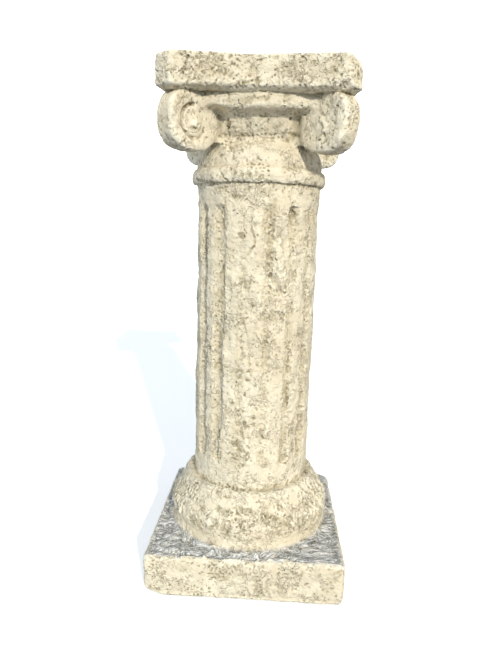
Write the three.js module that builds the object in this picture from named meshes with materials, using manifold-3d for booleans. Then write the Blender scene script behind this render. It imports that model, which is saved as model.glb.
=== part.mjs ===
import * as THREE from "three";
import Module from "manifold-3d";
import { mergeVertices } from "three/addons/utils/BufferGeometryUtils.js";

// Garden pedestal in the form of a small Ionic column, cast in one piece: a square plinth,
// a worn torus base, a fluted shaft and a capital with a volute on each diagonal.
// Millimetres, +Z up, the front towards -Y, the origin in the middle of the underside.

// Driving dimensions. The shaft sets the column's thickness, and what is wider or narrower
// than it is given by how far it stands out from it or draws in.
const SHAFT = { radius: 93, height: 456 };
const FLUTES = { count: 16, width: 21, depth: 4.5, baseCollar: 37, topCollar: 29 };
const TORUS = { projection: 35.5, height: 68, bellyHeight: 18, shoulder: 21, lip: 4 };
const FOOT = { height: 16, groove: 2 };
const PLINTH = { margin: 21.5, height: 66, cornerRadius: 9, bevel: 4 };
const RING = { projection: 8, height: 20, edge: 1.5 };
const BELL = { height: 44, lip: 6, throat: 17, shoulder: 22, draw: 4, sweep: 10 };
const ECHINUS = { height: 30, inset: 3 };
const EGGS = { width: 30, height: 28, stand: 5 };
const BAND = { height: 17, bow: 17, bevel: 2 };
const SOFFIT = { drop: 5, inset: 11 };
const ABACUS = { overhang: 40, height: 38, cornerCut: 21, hollow: 11, bevel: 3 };
const VOLUTE = { radius: 39, roll: 14, thickness: 32, rimThickness: 22, inset: 1 };
const EYE = { radius: 9.5, rise: 2 };
const CHANNEL = { width: 6.5, depth: 3, turns: 1.6 };
const STEM = { thickness: 25, drop: 24 };

// Radii and half widths that follow from them
const torusRadius = SHAFT.radius + TORUS.projection;
const plinthHalf = torusRadius + PLINTH.margin;
const ringRadius = SHAFT.radius + RING.projection;
const lipRadius = ringRadius - BELL.lip;
const throatRadius = SHAFT.radius - BELL.throat;
const echinusRadius = SHAFT.radius - ECHINUS.inset;
const abacusHalf = SHAFT.radius + ABACUS.overhang;

// Levels that follow from them
const footBase = PLINTH.height;
const torusBase = footBase + FOOT.height;
const shaftBase = torusBase + TORUS.height;
const ringBase = shaftBase + SHAFT.height;
const bellBase = ringBase + RING.height;
const echinusBase = bellBase + BELL.height;
const bandBase = echinusBase + ECHINUS.height;
const soffitBase = bandBase + BAND.height;
const abacusBase = soffitBase + SOFFIT.drop;
const abacusTop = abacusBase + ABACUS.height;

// Each volute hangs under a corner of the abacus, its rim just inside the corner's cut
const voluteReach = (2 * abacusHalf - ABACUS.cornerCut) / Math.SQRT2 - VOLUTE.inset - VOLUTE.radius;
const voluteHeight = abacusBase - VOLUTE.radius;
const voluteFace = VOLUTE.radius - VOLUTE.roll;

// How far a form runs into the one that it grows out of
const bedding = 6;

// How far the round end of a flute's cutter runs on past the shaft's surface, in radians
const fluteOverrun = 0.06;

// Facets round the column, a flute's cutter and a volute, and steps along a curve
const columnSides = 48;
const fluteSides = 16;
const voluteSides = 20;
const channelSteps = 10;
const eggSides = 10;
const eggRows = 6;
const curveSteps = 4;
const smallCurveSteps = 2;

const wasm = await Module();
wasm.setup();

function toSolid(geometry) {
  const bare = geometry.clone();
  bare.deleteAttribute("normal");
  bare.deleteAttribute("uv");
  const merged = mergeVertices(bare, 1e-4);
  const corners = merged.index.array;
  const faces = [];
  for (let i = 0; i < corners.length; i += 3) {
    const [a, b, c] = corners.slice(i, i + 3);
    if (a !== b && b !== c && c !== a) faces.push(a, b, c);
  }
  return new wasm.Manifold(new wasm.Mesh({
    numProp: 3,
    vertProperties: new Float32Array(merged.attributes.position.array),
    triVerts: new Uint32Array(faces),
  }));
}

function toGeometry(solid) {
  const mesh = solid.getMesh();
  const geometry = new THREE.BufferGeometry();
  geometry.setAttribute("position", new THREE.BufferAttribute(mesh.vertProperties, 3));
  geometry.setIndex(new THREE.BufferAttribute(mesh.triVerts, 1));
  geometry.computeVertexNormals();
  return geometry;
}

// A profile of radius and height, turned about the Z axis
function turned(profile, steps, sides) {
  return new THREE.LatheGeometry(profile.getPoints(steps), sides).rotateX(Math.PI / 2);
}

// An outline in plan, raised from one level by a height, its edges eased by a bevel
function raised(outline, base, height, bevel) {
  return new THREE.ExtrudeGeometry(outline, {
    depth: height - 2 * bevel,
    bevelSize: bevel,
    bevelThickness: bevel,
    bevelOffset: -bevel,
    bevelSegments: 1,
    curveSegments: curveSteps,
  }).translate(0, 0, base + bevel);
}

// A point in plan, turned about the axis by a number of quarter turns
function quarterTurned(x, y, quarters) {
  return new THREE.Vector2(x, y).rotateAround(new THREE.Vector2(), (quarters * Math.PI) / 2);
}

// A four-sided outline: each side is bowed out at its middle, or in where the bow is negative,
// and a straight cut across each corner joins it to the next
function bowedSquare(halfWidth, cornerCut, bow) {
  const end = halfWidth - cornerCut;
  const outline = new THREE.Shape();
  for (let side = 0; side < 4; side += 1) {
    const from = quarterTurned(-end, -halfWidth, side);
    const control = quarterTurned(0, -halfWidth - 2 * bow, side);
    const to = quarterTurned(end, -halfWidth, side);
    if (side === 0) outline.moveTo(from.x, from.y);
    if (side > 0 && cornerCut > 0) outline.lineTo(from.x, from.y);
    outline.quadraticCurveTo(control.x, control.y, to.x, to.y);
  }
  outline.closePath();
  return outline;
}

function plinth() {
  const straight = plinthHalf - PLINTH.cornerRadius;
  const outline = new THREE.Shape();
  for (let corner = 0; corner < 4; corner += 1) {
    const centre = quarterTurned(straight, -straight, corner);
    const turn = (corner * Math.PI) / 2;
    outline.absarc(centre.x, centre.y, PLINTH.cornerRadius, turn - Math.PI / 2, turn);
  }
  outline.closePath();
  return raised(outline, 0, PLINTH.height, PLINTH.bevel);
}

// Base, shaft, ring, bell and echinus in one turned profile, from the plinth to the abacus
function turnedBody() {
  const belly = torusBase + TORUS.bellyHeight;
  const shoulder = (belly + shaftBase) / 2;
  const shoulderRadius = SHAFT.radius + TORUS.shoulder;
  const torusTopRadius = SHAFT.radius + TORUS.lip;
  const profile = new THREE.Path();
  profile.moveTo(0, footBase - bedding);
  profile.lineTo(torusRadius, footBase - bedding);
  profile.lineTo(torusRadius, torusBase);
  profile.lineTo(torusRadius - FOOT.groove, torusBase);
  profile.quadraticCurveTo(torusRadius, torusBase, torusRadius, belly);
  profile.bezierCurveTo(torusRadius, shoulder, shoulderRadius, shoulder, torusTopRadius, shaftBase);
  profile.lineTo(SHAFT.radius, shaftBase);
  profile.lineTo(SHAFT.radius, ringBase);
  profile.lineTo(ringRadius - RING.edge, ringBase);
  profile.quadraticCurveTo(ringRadius + RING.edge, (ringBase + bellBase) / 2, lipRadius, bellBase);
  profile.bezierCurveTo(
    lipRadius, bellBase + BELL.shoulder,
    throatRadius + BELL.draw, echinusBase - BELL.sweep,
    throatRadius, echinusBase,
  );
  profile.quadraticCurveTo(echinusRadius, echinusBase, echinusRadius, bandBase);
  profile.lineTo(echinusRadius, abacusBase + bedding);
  profile.lineTo(0, abacusBase + bedding);
  return turned(profile, curveSteps, columnSides);
}

// A flute's cutter: a round-ended rod along the shaft, its axis outside the shaft's surface
function fluteCutter(angle) {
  const halfWidth = FLUTES.width / 2;
  const rod = (halfWidth ** 2 + FLUTES.depth ** 2) / (2 * FLUTES.depth);
  const low = shaftBase + FLUTES.baseCollar + halfWidth;
  const high = ringBase - FLUTES.topCollar - halfWidth;
  const away = SHAFT.radius - FLUTES.depth + rod;
  const sweep = Math.acos((rod - FLUTES.depth) / rod) + fluteOverrun;
  const profile = new THREE.Path();
  const lip = rod * Math.cos(sweep);
  const end = rod * Math.sin(sweep);
  profile.moveTo(0, low - end);
  profile.lineTo(lip, low - end);
  profile.absarc(0, low, rod, -sweep, 0);
  profile.absarc(0, high, rod, 0, sweep);
  profile.lineTo(0, high + end);
  return turned(profile, smallCurveSteps, fluteSides).translate(away, 0, 0).rotateZ(angle);
}

// An egg of the worn egg moulding, standing proud of the echinus
function egg(angle) {
  const depth = EGGS.width / 2 + EGGS.stand;
  return new THREE.SphereGeometry(1, eggSides, eggRows)
    .scale(depth, EGGS.width / 2, EGGS.height / 2)
    .translate(echinusRadius - EGGS.width / 2, 0, echinusBase + ECHINUS.height / 2)
    .rotateZ(angle);
}

function band() {
  const outline = bowedSquare(voluteReach / Math.SQRT2, 0, BAND.bow);
  return raised(outline, bandBase, abacusBase + bedding - bandBase, BAND.bevel);
}

// The abacus's underside steps down towards the band
function soffit() {
  const outline = bowedSquare(abacusHalf - SOFFIT.inset, ABACUS.cornerCut, -ABACUS.hollow);
  return raised(outline, soffitBase, SOFFIT.drop + bedding, ABACUS.bevel);
}

function abacus() {
  const outline = bowedSquare(abacusHalf, ABACUS.cornerCut, -ABACUS.hollow);
  return raised(outline, abacusBase, ABACUS.height, ABACUS.bevel);
}

// In a volute's own frame X points out along the diagonal, Y along its axle and Z up,
// with the origin in the middle of its eye. It is a thick disc with bevelled faces.
function voluteDisc() {
  const face = VOLUTE.thickness / 2;
  const rim = VOLUTE.rimThickness / 2;
  const profile = new THREE.Path();
  profile.moveTo(0, -face - EYE.rise);
  profile.quadraticCurveTo(EYE.radius, -face - EYE.rise, EYE.radius, -face);
  profile.lineTo(voluteFace, -face);
  profile.quadraticCurveTo(VOLUTE.radius, -face, VOLUTE.radius, -rim);
  profile.lineTo(VOLUTE.radius, rim);
  profile.quadraticCurveTo(VOLUTE.radius, face, voluteFace, face);
  profile.lineTo(EYE.radius, face);
  profile.quadraticCurveTo(EYE.radius, face + EYE.rise, 0, face + EYE.rise);
  return new THREE.LatheGeometry(profile.getPoints(smallCurveSteps), voluteSides);
}

// The spiral channel on one face, wound from the band over the top and in to the eye
class Spiral extends THREE.Curve {
  constructor(level) {
    super();
    this.level = level;
  }

  getPoint(share, target = new THREE.Vector3()) {
    const angle = Math.PI / 2 - share * CHANNEL.turns * 2 * Math.PI;
    const inner = EYE.radius + CHANNEL.width / 2;
    const radius = THREE.MathUtils.lerp(voluteFace, inner, share);
    return target.set(radius * Math.cos(angle), this.level, radius * Math.sin(angle));
  }
}

function channelCutter(side) {
  const section = new THREE.Shape();
  const half = CHANNEL.width / 2;
  section.absellipse(0, 0, half, half, 0, 2 * Math.PI);
  const level = side * (VOLUTE.thickness / 2 + half - CHANNEL.depth);
  return new THREE.ExtrudeGeometry(section, {
    extrudePath: new Spiral(level),
    steps: Math.ceil(CHANNEL.turns * channelSteps),
    curveSegments: 3,
  });
}

// The stem that carries a volute out of the bell, under the abacus
function stem() {
  const inner = throatRadius / 2;
  const outline = new THREE.Shape();
  outline.moveTo(inner, -STEM.drop);
  outline.lineTo(voluteReach, -STEM.drop);
  outline.lineTo(voluteReach, VOLUTE.radius + bedding);
  outline.lineTo(inner, VOLUTE.radius + bedding);
  outline.closePath();
  return new THREE.ExtrudeGeometry(outline, { depth: STEM.thickness, bevelEnabled: false })
    .translate(-voluteReach, 0, -STEM.thickness / 2)
    .rotateX(Math.PI / 2);
}

function volute(angle) {
  let solid = toSolid(voluteDisc());
  for (const side of [-1, 1]) {
    solid = solid.subtract(toSolid(channelCutter(side)));
  }
  return toSolid(toGeometry(solid.add(toSolid(stem())))
    .translate(voluteReach, 0, voluteHeight)
    .rotateZ(angle));
}

// Worn and broken places, each a rounded bite: its middle, and its reach along each axis
const wornPlaces = {
  plinthCorner: { at: [-plinthHalf - 2, -plinthHalf - 2, -6], reach: [30, 22, 16] },
  plinthNotch: { at: [10, -plinthHalf - 2, footBase + 2], reach: [9, 10, 10] },
  plinthPit: { at: [plinthHalf - 16, 33 - plinthHalf, footBase + 5], reach: [6, 12, 11] },
  ringBreak: { at: [-0.72 * ringRadius, -0.72 * ringRadius, ringBase - 2], reach: [18, 18, 7] },
  abacusCorner: { at: [abacusHalf - 4, -abacusHalf, abacusTop + 9], reach: [24, 26, 17] },
  abacusChip: { at: [abacusHalf - 24, -abacusHalf - 5, abacusBase - 4], reach: [13, 12, 12] },
};

function bite({ at, reach }) {
  return new THREE.IcosahedronGeometry(1, 1).scale(...reach).translate(...at);
}

function column() {
  let solid = toSolid(turnedBody());
  const pitch = (2 * Math.PI) / FLUTES.count;
  for (let i = 0; i < FLUTES.count; i += 1) {
    solid = solid.subtract(toSolid(fluteCutter((i + 0.5) * pitch)));
  }
  for (const part of [plinth(), band(), soffit(), abacus()]) {
    solid = solid.add(toSolid(part));
  }
  for (let side = 0; side < 4; side += 1) {
    const facing = (side * Math.PI) / 2;
    for (const step of [-1, 0, 1]) {
      solid = solid.add(toSolid(egg(facing + step * pitch)));
    }
    solid = solid.add(volute(facing + Math.PI / 4));
  }
  for (const place of Object.values(wornPlaces)) {
    solid = solid.subtract(toSolid(bite(place)));
  }
  return toGeometry(solid);
}

const castStone = new THREE.MeshStandardMaterial({ color: 0xe6dbbb, roughness: 0.95, metalness: 0 });
const mesh = new THREE.Mesh(column(), castStone);
mesh.name = "column";

const pedestal = new THREE.Group();
pedestal.add(mesh);

export default pedestal;
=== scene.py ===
import math
from concurrent.futures import ThreadPoolExecutor

import bpy
import numpy as np
from mathutils import Matrix, Vector


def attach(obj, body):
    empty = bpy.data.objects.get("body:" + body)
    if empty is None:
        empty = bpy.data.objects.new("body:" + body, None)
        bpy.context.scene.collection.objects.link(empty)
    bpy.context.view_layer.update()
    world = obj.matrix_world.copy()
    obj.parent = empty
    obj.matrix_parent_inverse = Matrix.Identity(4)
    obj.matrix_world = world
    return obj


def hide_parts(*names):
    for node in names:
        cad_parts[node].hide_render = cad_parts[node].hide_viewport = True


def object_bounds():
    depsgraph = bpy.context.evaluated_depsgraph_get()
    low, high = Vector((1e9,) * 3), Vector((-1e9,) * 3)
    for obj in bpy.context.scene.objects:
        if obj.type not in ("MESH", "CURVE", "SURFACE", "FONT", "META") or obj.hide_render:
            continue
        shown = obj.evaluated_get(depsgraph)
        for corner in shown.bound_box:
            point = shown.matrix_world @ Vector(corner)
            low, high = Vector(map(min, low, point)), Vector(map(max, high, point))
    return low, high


# A worn garden pedestal cast in stone, in the form of a small Ionic column. Its surface is a distance
# field: the clean form from the sizes below, then wear, pits and cracks, meshed once at a fine step.
# Lengths are millimetres until the mesh is made.

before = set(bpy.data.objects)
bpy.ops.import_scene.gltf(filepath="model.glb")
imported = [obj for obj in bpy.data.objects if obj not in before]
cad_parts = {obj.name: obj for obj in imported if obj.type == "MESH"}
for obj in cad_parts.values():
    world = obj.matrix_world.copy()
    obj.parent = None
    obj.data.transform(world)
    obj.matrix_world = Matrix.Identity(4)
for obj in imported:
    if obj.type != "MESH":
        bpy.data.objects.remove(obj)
cad_low, cad_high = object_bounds()

MM = 0.001
VOXEL = 1.6
BLOCK = 4
MESH_LIMIT = 196000
THREADS = 4
CHUNK = 120000
BACK_FROM, BACK_LIMIT = 10.0, 50000

# The clean form's sizes
SHAFT_RADIUS, SHAFT_BASE, RING_BASE = 93.0, 150.0, 606.0
BELL_BASE, ECHINUS_BASE, BAND_BASE = 626.0, 670.0, 700.0
SOFFIT_BASE, ABACUS_BASE, TOP = 717.0, 722.0, 760.0
TORUS_RADIUS, FOOT_BASE, TORUS_BASE = 128.5, 66.0, 82.0
PLINTH_HALF, PLINTH_CORNER, PLINTH_EASE = 149.4, 10.0, 6.0
PLINTH_BULGE, TOP_SINK = 1.0, 2.2
RING_RADIUS, LIP_RADIUS, THROAT_RADIUS, ECHINUS_RADIUS = 100.0, 95.0, 76.0, 88.5
FLUTES, FLUTE_HALF, FLUTE_DEPTH = 16, 10.4, 6.0
FLUTE_LOW, FLUTE_HIGH = 187.0, 577.0
FLUTE_TURN = 1.0
EGG_HALF, EGG_RISE, EGG_TALL = 15.0, 0.5, 14.0
EGG_MIDDLE = (ECHINUS_RADIUS - EGG_HALF, 0, ECHINUS_BASE + 13)
EGG_REACH = (EGG_HALF + EGG_RISE, EGG_HALF, EGG_TALL)
ABACUS_HALF, CORNER_CUT, ABACUS_HOLLOW = 134.0, 21.0, 11.0
ABACUS_SHIFT = -1.0
SOFFIT_INSET = 11.0
BAND_HALF, BAND_BOW = 94.2, 17.0
VOLUTE_REACH, VOLUTE_HEIGHT, VOLUTE_RADIUS = 133.2, 683.0, 39.0
VOLUTE_CREST, VOLUTE_AXLE, VOLUTE_RIM = 32.0, 17.0, 11.0
EYE_RADIUS, EYE_RISE, EYE_SINK, EYE_DROP = 9.5, 0.5, 2.5, 5.5
KNOB_RADIUS, KNOB_SQUASH, SQUARENESS = 9.0, 1.5, 2.5
CHANNEL_HALF, CHANNEL_START, CHANNEL_END, CHANNEL_TURNS = 3.2, 24.0, 13.5, 0.85
CHANNEL_DEPTHS = {"front left": 5.0, "front right": 1.2, "back": 3.0}
STEM_HALF, STEM_DROP = 13.0, 25.0

# How wide the joins between the forms are filled: the head's at its volutes, more on the left, more up at
# the band, and most along the middle of a side
FLUTE_ARRIS, EGG_FILLET, FOOT_FILLET, BAND_FILLET, STEM_FILLET, SLAB_FILLET = 1.0, 9.0, 3.0, 9.0, 6.0, 1.0
HEAD_FILLET, LEFT_MORE, BAND_MORE, MIDDLE_MORE = 2.5, 4.0, 6.0, 14.0

# The flutes near the front are cut less deep, within an angle in radians
FRONT_SHALLOW, FRONT_REACH = 0.8, 0.75

# Flutes worn shallow: degrees round from the front, height of the middle, half height, and what fills
# them in mm
WORN_FLUTES = (
    (-10.3, 505, 80, 5.6), (-10.3, 390, 60, 3.6), (-10.3, 250, 90, 4.4), (12.3, 470, 66, 3.6),
    (12.3, 300, 120, 4.0), (34.8, 455, 84, 4.0), (34.8, 290, 90, 2.2), (57.3, 420, 150, 2.6),
    (79.8, 400, 180, 2.6),
)


def smooth_step(low, high, value):
    t = np.clip((value - low) / (high - low), 0, 1)
    return t * t * (3 - 2 * t)


def smooth_min(a, b, k):
    h = np.clip(0.5 + 0.5 * (b - a) / k, 0, 1)
    return b + (a - b) * h - k * h * (1 - h)


def smooth_max(a, b, k):
    return -smooth_min(-a, -b, k)


def bezier(points, steps=10):
    """Points along a Bezier curve of any degree, without its first."""
    t = np.linspace(0, 1, steps + 1)[1:]
    n = len(points) - 1
    curve = np.zeros((steps, 2))
    for i, point in enumerate(points):
        curve += (math.comb(n, i) * t**i * (1 - t) ** (n - i))[:, None] * np.array(point, float)
    return [tuple(q) for q in curve]


def polygon_distance(points, u, v):
    """Distance in a plane to a closed outline, below 0 inside it."""
    best = np.full(u.shape, 1e9, np.float32)
    inside = np.zeros(u.shape, bool)
    for (ax, ay), (bx, by) in zip(points, points[1:] + points[:1]):
        ex, ey = bx - ax, by - ay
        wx, wy = u - ax, v - ay
        t = np.clip((wx * ex + wy * ey) / (ex * ex + ey * ey), 0, 1)
        best = np.minimum(best, (wx - ex * t) ** 2 + (wy - ey * t) ** 2)
        if ey:
            inside ^= ((ay > v) != (by > v)) & (u < ex * (v - ay) / ey + ax)
    return np.where(inside, -1, 1).astype(np.float32) * np.sqrt(best)


class Section:
    """A plane outline's distance, kept as a table."""

    def __init__(self, points, low, high, step):
        self.low, self.step = low, step
        u = np.arange(low[0], high[0], step, dtype=np.float32)
        v = np.arange(low[1], high[1], step, dtype=np.float32)
        self.table = polygon_distance(points, *np.meshgrid(u, v, indexing="ij"))

    def at(self, u, v):
        a = np.clip((u - self.low[0]) / self.step, 0, self.table.shape[0] - 1.001)
        b = np.clip((v - self.low[1]) / self.step, 0, self.table.shape[1] - 1.001)
        i, j = a.astype(np.int32), b.astype(np.int32)
        a, b = a - i, b - j
        t = self.table
        near = t[i, j] * (1 - a) + t[i + 1, j] * a
        far = t[i, j + 1] * (1 - a) + t[i + 1, j + 1] * a
        return near * (1 - b) + far * b


# Base, shaft, ring, bell and echinus: radius and height of the turned outline
turned = [(-60, FOOT_BASE - 8), (TORUS_RADIUS + 6, FOOT_BASE - 8), (TORUS_RADIUS + 6, FOOT_BASE)]
turned += bezier([turned[-1], (TORUS_RADIUS + 0.5, FOOT_BASE + 1), (TORUS_RADIUS - 2, TORUS_BASE - 6),
                  (TORUS_RADIUS - 2.5, TORUS_BASE)], 6)
turned += bezier([turned[-1], (TORUS_RADIUS + 1, 90), (TORUS_RADIUS + 0.5, 102)], 6)
turned += bezier([turned[-1], (TORUS_RADIUS, 113), (118.5, 120), (113.0, 130)], 10)
turned += bezier([turned[-1], (109.0, 138), (106.0, 149.5), (99.5, 150)], 6)
turned += bezier([turned[-1], (96.5, 149.8), (94.5, 148.5), (SHAFT_RADIUS, 151)], 5)
turned += [(SHAFT_RADIUS, RING_BASE), (RING_RADIUS - 3.0, RING_BASE)]
turned += bezier([turned[-1], (RING_RADIUS + 2, RING_BASE + 1), (RING_RADIUS + 2, BELL_BASE - 2),
                  (LIP_RADIUS + 0.5, BELL_BASE)])
turned += [(LIP_RADIUS - 2, BELL_BASE + 1.5)]
turned += bezier([turned[-1], (LIP_RADIUS + 1, 648), (81, 658), (THROAT_RADIUS + 1, 667)])
turned += bezier([turned[-1], (THROAT_RADIUS + 1.5, 671.5), (79.5, 674), (82, 679)], 6)
turned += bezier([turned[-1], (85, 686), (ECHINUS_RADIUS, 692), (ECHINUS_RADIUS + 9, BAND_BASE)], 6)
turned += [(ECHINUS_RADIUS + 9, ABACUS_BASE + 6), (-60, ABACUS_BASE + 6)]
turned_section = Section(turned, (-2, -20), (240, 790), 1.0)

# A volute: distance from its middle, and distance from its middle plane
disc = [(-60, 0), (-60, VOLUTE_AXLE + EYE_RISE), (0, VOLUTE_AXLE + EYE_RISE)]
disc += bezier([disc[-1], (EYE_RADIUS, VOLUTE_AXLE + EYE_RISE), (EYE_RADIUS + 1, VOLUTE_AXLE - EYE_SINK)], 6)
disc += bezier([disc[-1], (EYE_RADIUS + 9, VOLUTE_AXLE - EYE_SINK), (VOLUTE_CREST - 7, VOLUTE_AXLE),
                (VOLUTE_CREST, VOLUTE_AXLE)])
disc += bezier([disc[-1], (VOLUTE_RADIUS, VOLUTE_AXLE), (VOLUTE_RADIUS, VOLUTE_RIM)])
disc += [(VOLUTE_RADIUS, -60), (-60, -60)]
disc_section = Section(disc, (-2, -2), (120, 100), 0.5)

# Smooth random fields, sampled from periodic volumes
CELLS = 128
WAVE = 6.0


def random_volume(seed):
    rng = np.random.default_rng(seed)
    spectrum = np.fft.rfftn(rng.standard_normal((CELLS,) * 3))
    k = np.fft.fftfreq(CELLS) * CELLS
    radius = np.sqrt(k[:, None, None] ** 2 + k[None, :, None] ** 2 + (np.fft.rfftfreq(CELLS) * CELLS) ** 2)
    peak = CELLS / WAVE
    volume = np.fft.irfftn(spectrum * np.exp(-(((radius - peak) / (0.4 * peak)) ** 2)), s=(CELLS,) * 3)
    return (volume / volume.std()).astype(np.float32).ravel()


volumes = [random_volume(seed) for seed in (11, 12)]


def noise(p, size, seed, stretch=1.0):
    """A smooth random field of unit spread, in waves of a size. A stretch draws them out along Z."""
    rng = np.random.default_rng(seed)
    turn, _ = np.linalg.qr(rng.standard_normal((3, 3)))
    scale = np.diag([WAVE / size, WAVE / size, WAVE / size / stretch])
    q = p @ (scale @ turn).astype(np.float32) + rng.uniform(0, CELLS, 3).astype(np.float32)
    low = np.floor(q)
    f = q - low
    i = low.astype(np.int32) & (CELLS - 1)
    j = (i + 1) & (CELLS - 1)
    volume = volumes[seed % len(volumes)]
    rows = [i[:, 0] * CELLS * CELLS, j[:, 0] * CELLS * CELLS]
    columns = [i[:, 1] * CELLS, j[:, 1] * CELLS]
    levels = [i[:, 2], j[:, 2]]
    total = 0
    for a, wa in zip(rows, (1 - f[:, 0], f[:, 0])):
        for b, wb in zip(columns, (1 - f[:, 1], f[:, 1])):
            ab, wab = a + b, wa * wb
            total = total + wab * (volume[ab + levels[0]] * (1 - f[:, 2]) + volume[ab + levels[1]] * f[:, 2])
    return total


def bowed(a, b, half, bow, end):
    """Distance in plan to a square whose sides are bowed out, or in where the bow is below 0."""
    t = np.clip(b / end, 0, 1)
    return (a - half - bow * (1 - t * t)) / np.sqrt(1 + (2 * bow * t / end) ** 2)


def raised(plan, z, low, high, ease):
    """A plan outline raised between two levels, with its edges rounded."""
    side, level = plan + ease, np.abs(z - (low + high) / 2) - (high - low) / 2 + ease
    return np.minimum(np.maximum(side, level), 0) + np.hypot(np.maximum(side, 0), np.maximum(level, 0)) - ease


def ellipsoid(x, y, z, at, reach):
    u, v, w = (x - at[0]) / reach[0], (y - at[1]) / reach[1], (z - at[2]) / reach[2]
    k = np.sqrt(u * u + v * v + w * w) + 1e-6
    g = np.sqrt((u / reach[0]) ** 2 + (v / reach[1]) ** 2 + (w / reach[2]) ** 2) + 1e-6
    return k * (k - 1) / g


def flute_distance(x, y, z, r):
    """Distance to the rods that cut the flutes."""
    away_from_front = np.arctan2(x, -y)
    pitch = 2 * np.pi / FLUTES
    angle = np.mod(away_from_front - math.radians(FLUTE_TURN), pitch) - pitch / 2
    rod = (FLUTE_HALF**2 + FLUTE_DEPTH**2) / (2 * FLUTE_DEPTH)
    shallower = FRONT_SHALLOW * smooth_step(FRONT_REACH, 0.0, np.abs(away_from_front))
    u = r * np.cos(angle) - (SHAFT_RADIUS - FLUTE_DEPTH + rod) - shallower
    v = r * np.sin(angle)
    w = np.maximum(np.maximum(FLUTE_LOW + FLUTE_HALF - z, z - FLUTE_HIGH + FLUTE_HALF), 0)
    filled = 0
    for degrees, height, half_high, fill in WORN_FLUTES:
        here = np.abs(away_from_front - math.radians(degrees)) < pitch / 2
        filled = filled + here * fill * smooth_step(half_high + 22, half_high - 22, np.abs(z - height))
    return np.sqrt(u * u + v * v + w * w) - rod + np.minimum(filled, FLUTE_DEPTH)


def volute_distance(x, y, z):
    """Distance to the volute on the nearest diagonal, with its stem and its spiral channels."""
    along = (np.abs(x) + np.abs(y)) / math.sqrt(2) - VOLUTE_REACH
    across = np.abs(np.abs(x) - np.abs(y)) / math.sqrt(2)
    up = z - VOLUTE_HEIGHT
    out_of_round = (np.abs(along) ** SQUARENESS + np.abs(up) ** SQUARENESS) ** (1 / SQUARENESS)
    from_middle = np.hypot(along, up)
    from_eye = np.hypot(along, up + EYE_DROP)
    radius = from_eye + (out_of_round - from_eye) * smooth_step(14, 30, from_middle)
    angle = np.arctan2(up + EYE_DROP, along)
    solid = disc_section.at(radius, across)
    knob = np.sqrt(from_eye**2 + (KNOB_SQUASH * (across - VOLUTE_AXLE + EYE_SINK)) ** 2) - KNOB_RADIUS
    solid = np.where((x < 0) & (y < 0), smooth_min(solid, knob, 1.5), solid)
    to_channel = np.full_like(radius, 1e3)
    for turn in (-1, 0, 1, 2):
        wound = np.clip((np.pi / 2 - angle + 2 * np.pi * turn) / (2 * np.pi * CHANNEL_TURNS), 0, 1)
        at = np.pi / 2 - wound * 2 * np.pi * CHANNEL_TURNS
        away = CHANNEL_START + (CHANNEL_END - CHANNEL_START) * wound
        here = np.hypot(along - away * np.cos(at), up + EYE_DROP - away * np.sin(at))
        to_channel = np.minimum(to_channel, here)
    front = np.where(x < 0, CHANNEL_DEPTHS["front left"], CHANNEL_DEPTHS["front right"])
    level = VOLUTE_AXLE - EYE_SINK / 2 + CHANNEL_HALF - np.where(y < 0, front, CHANNEL_DEPTHS["back"])
    channel = np.hypot(to_channel, across - level) - CHANNEL_HALF
    solid = smooth_max(solid, -channel, 2.0)
    stem_middle = (THROAT_RADIUS / 2 - VOLUTE_REACH) / 2
    stem = np.maximum(np.abs(along - stem_middle) + stem_middle, across - STEM_HALF)
    stem_rise = (VOLUTE_RADIUS + 6 - STEM_DROP) / 2
    stem = np.maximum(stem, np.abs(up - stem_rise) - stem_rise - STEM_DROP)
    return smooth_min(solid, stem, STEM_FILLET)


# Large worn places: the middle of each bite, and its reach along each axis
BITES = (
    ((-152, -152, -6), (30, 22, 16)),
    ((10, -152, 68), (9, 10, 10)),
    ((134, -117, 71), (6, 12, 11)),
    ((-72.7, -72.7, 603), (13, 13, 4)),
    ((109, -138, 718), (13, 12, 12)),
)

# Corners worn round: a place on each, and the direction that it faces
BITE_EDGE, CORNER_EDGE, CORNER_REACH = 3.0, 8.0, 60.0
WORN_CORNERS = (
    ((121, -131, 755), (0.62, -0.20, 0.76)),
    ((-131, -128, 757), (-0.55, -0.40, 0.73)),
    ((-147, -147, 8), (-0.45, -0.45, -0.77)),
    ((146, 146, 60), (0.50, 0.50, 0.71)),
    ((-128, 128, 755), (-0.50, 0.50, 0.71)),
)


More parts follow.
